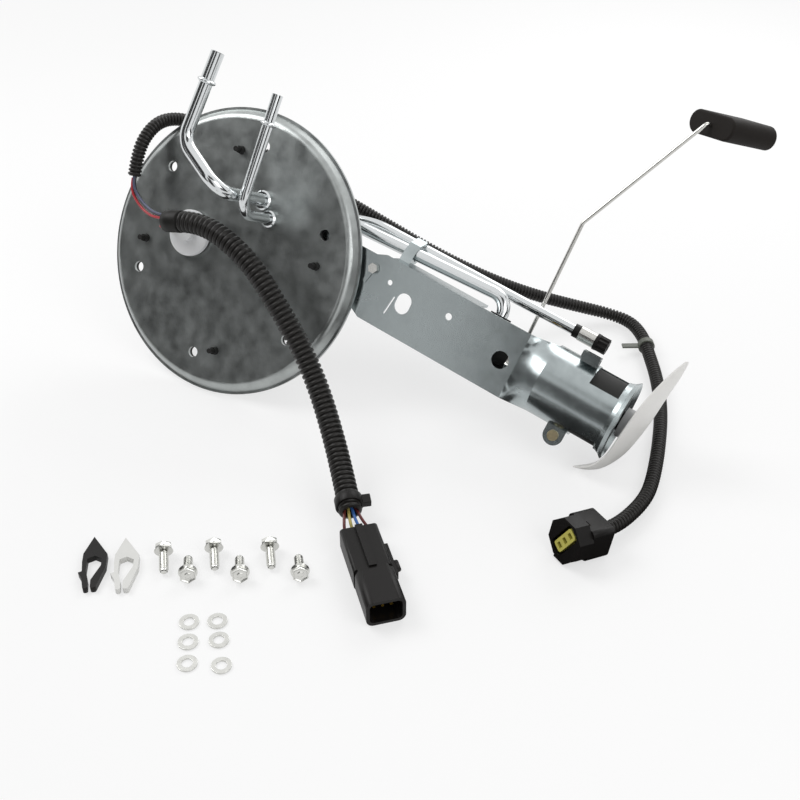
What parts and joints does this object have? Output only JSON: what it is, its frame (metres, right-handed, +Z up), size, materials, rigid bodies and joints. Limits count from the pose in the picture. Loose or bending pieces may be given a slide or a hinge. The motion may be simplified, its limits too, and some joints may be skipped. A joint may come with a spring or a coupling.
{
  "type": "fuel pump module",
  "caption": "Flange-mounted fuel pump module: bent tubes, pump in a pressed bracket, strainer, hinged float arm, wiring harness and loose fasteners.",
  "frame": {"origin": "On the floor under the middle of the object's box, measured without the harness.", "axes": "+Z up. +X runs from the flange along the pump bracket towards the strainer, seen from above. -Y is the side towards which the flange's outer face leans."},
  "size_m": [0.3721, 0.3896, 0.2022],
  "materials": {
    "aluminium": "machined",
    "black_plastic": "matte",
    "brass": "plain",
    "bright_steel": "bright zinc plated",
    "can_black": "black coated steel",
    "carbon": "carbon",
    "card": "printed resistor card",
    "conduit": "corrugated, satin",
    "felt": "fine white mesh",
    "ferrite": "sintered magnet",
    "foam": "closed-cell float",
    "grey_plastic": "matte",
    "laminations": "laminated steel",
    "rubber": "matte",
    "white_nylon": "matte",
    "wires": "wire insulation",
    "yellow_plastic": "matte",
    "zinc": "zinc plated, mottled"
  },
  "bodies": {
    "module": {"flange_plate": "zinc", "flange_gasket": "rubber", "bulkhead": "white_nylon", "bulkhead_seal": "rubber", "bulkhead_pins": "brass", "feed_tube": "bright_steel", "return_tube": "bright_steel", "feed_ferrule": "bright_steel", "return_ferrule": "bright_steel", "bracket": "bright_steel", "bracket_foot": "zinc", "ground_screw": "bright_steel", "ground_lug": "zinc", "ear_rivet": "brass", "tube_clip": "zinc", "return_valve": "bright_steel", "valve_band": "rubber", "pump_isolator": "rubber", "pump_can": "can_black", "pump_inlet_cap": "black_plastic", "pump_outlet_cap": "black_plastic", "pump_terminals": "brass", "pump_plate": "aluminium", "pump_magnets": "ferrite", "brushes": "carbon", "outlet_hose": "rubber", "clamp_top": "bright_steel", "clamp_bottom": "bright_steel", "strainer": "felt", "strainer_port": "black_plastic", "sender_housing": "white_nylon", "sender_card": "card", "main_wires": "wires", "main_conduit": "conduit", "main_connector": "black_plastic", "main_terminals": "brass", "connector_lock": "black_plastic", "conduit_clip": "black_plastic", "branch_wires": "wires", "plug_wires": "wires", "branch_conduit": "conduit", "branch_connector": "black_plastic", "branch_insert": "yellow_plastic", "conduit_tie": "grey_plastic", "screws": "bright_steel", "washers": "bright_steel", "clip_black": "black_plastic", "clip_white": "white_nylon"},
    "pump_motor": {"pump_rotor": "laminations", "pump_impeller": "black_plastic"},
    "level_arm": {"float_arm": "bright_steel", "sender_float": "foam"},
    "outlet_check": {"check_poppet": "white_nylon"}
  },
  "joints": [
    {"name": "pump_spin", "type": "hinge", "parent": "module", "child": "pump_motor", "pos_m": [0.13129, 0.05579, 0.0357], "axis": [0.9698, 0, -0.2438], "continuous": true},
    {"name": "float_swing", "type": "hinge", "parent": "module", "child": "level_arm", "pos_m": [0.08145, 0.07331, 0.03556], "axis": [0.1208, -0.8686, 0.4806], "range_deg": [-35, 60]},
    {"name": "check_lift", "type": "slide", "parent": "module", "child": "outlet_check", "axis": [-0.9698, 0, 0.2438], "range_m": [0, 0.002]}
  ]
}
